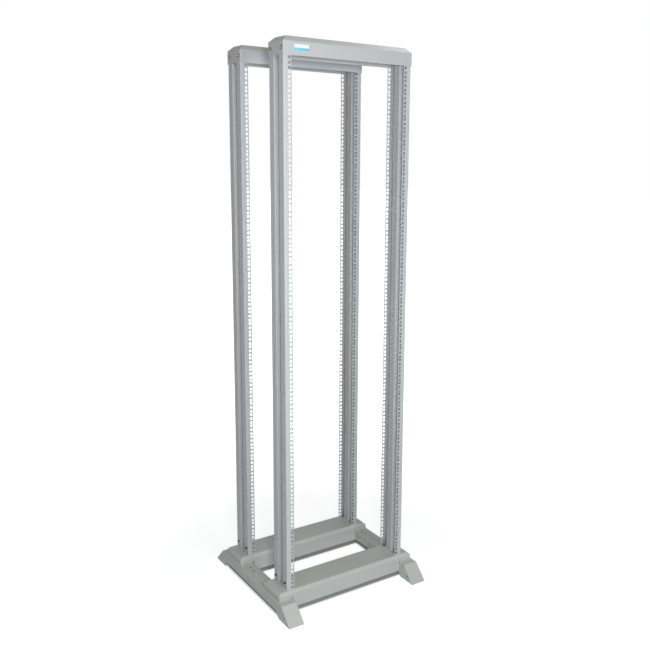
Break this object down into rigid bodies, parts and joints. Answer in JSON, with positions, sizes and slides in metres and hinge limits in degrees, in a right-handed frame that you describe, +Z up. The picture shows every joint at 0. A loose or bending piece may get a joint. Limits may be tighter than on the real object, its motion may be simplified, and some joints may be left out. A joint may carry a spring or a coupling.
{
  "type": "four post open frame rack",
  "caption": "Open frame 19 inch equipment rack: two chamfer-capped two-post frames with square-holed posts on a low perforated base with wedge feet.",
  "frame": {"origin": "on the floor, under the middle of the base", "axes": "+X to the rack's right seen from its front, +Y to the rear, +Z up; the badge is on the front, -Y"},
  "size_m": [0.6, 0.62, 2.0174],
  "materials": {
    "base_paint": "satin powder coat, light grey",
    "cap_paint": "satin powder coat, light grey",
    "foot_paint": "satin powder coat, light grey",
    "post_paint": "satin powder coat, light grey",
    "badge_face": "plain glossy white, bare"
  },
  "bodies": {
    "root": {"badge_plate": "badge_face", "base_beam_front": "base_paint", "base_beam_rear": "base_paint", "foot_front_left": "foot_paint", "foot_front_right": "foot_paint", "foot_rear_left": "foot_paint", "foot_rear_right": "foot_paint", "post_angle_front_left_inner": "post_paint", "post_angle_front_left_outer": "post_paint", "post_angle_front_right_inner": "post_paint", "post_angle_front_right_outer": "post_paint", "post_angle_rear_left_inner": "post_paint", "post_angle_rear_left_outer": "post_paint", "post_angle_rear_right_inner": "post_paint", "post_angle_rear_right_outer": "post_paint", "post_front_left": "post_paint", "post_front_right": "post_paint", "post_rear_left": "post_paint", "post_rear_right": "post_paint", "rail_bracket_front_left": "base_paint", "rail_bracket_front_right": "base_paint", "rail_bracket_rear_left": "base_paint", "rail_bracket_rear_right": "base_paint", "side_rail_left": "base_paint", "side_rail_right": "base_paint", "top_cap_front": "cap_paint", "top_cap_rear": "cap_paint"}
  },
  "joints": []
}
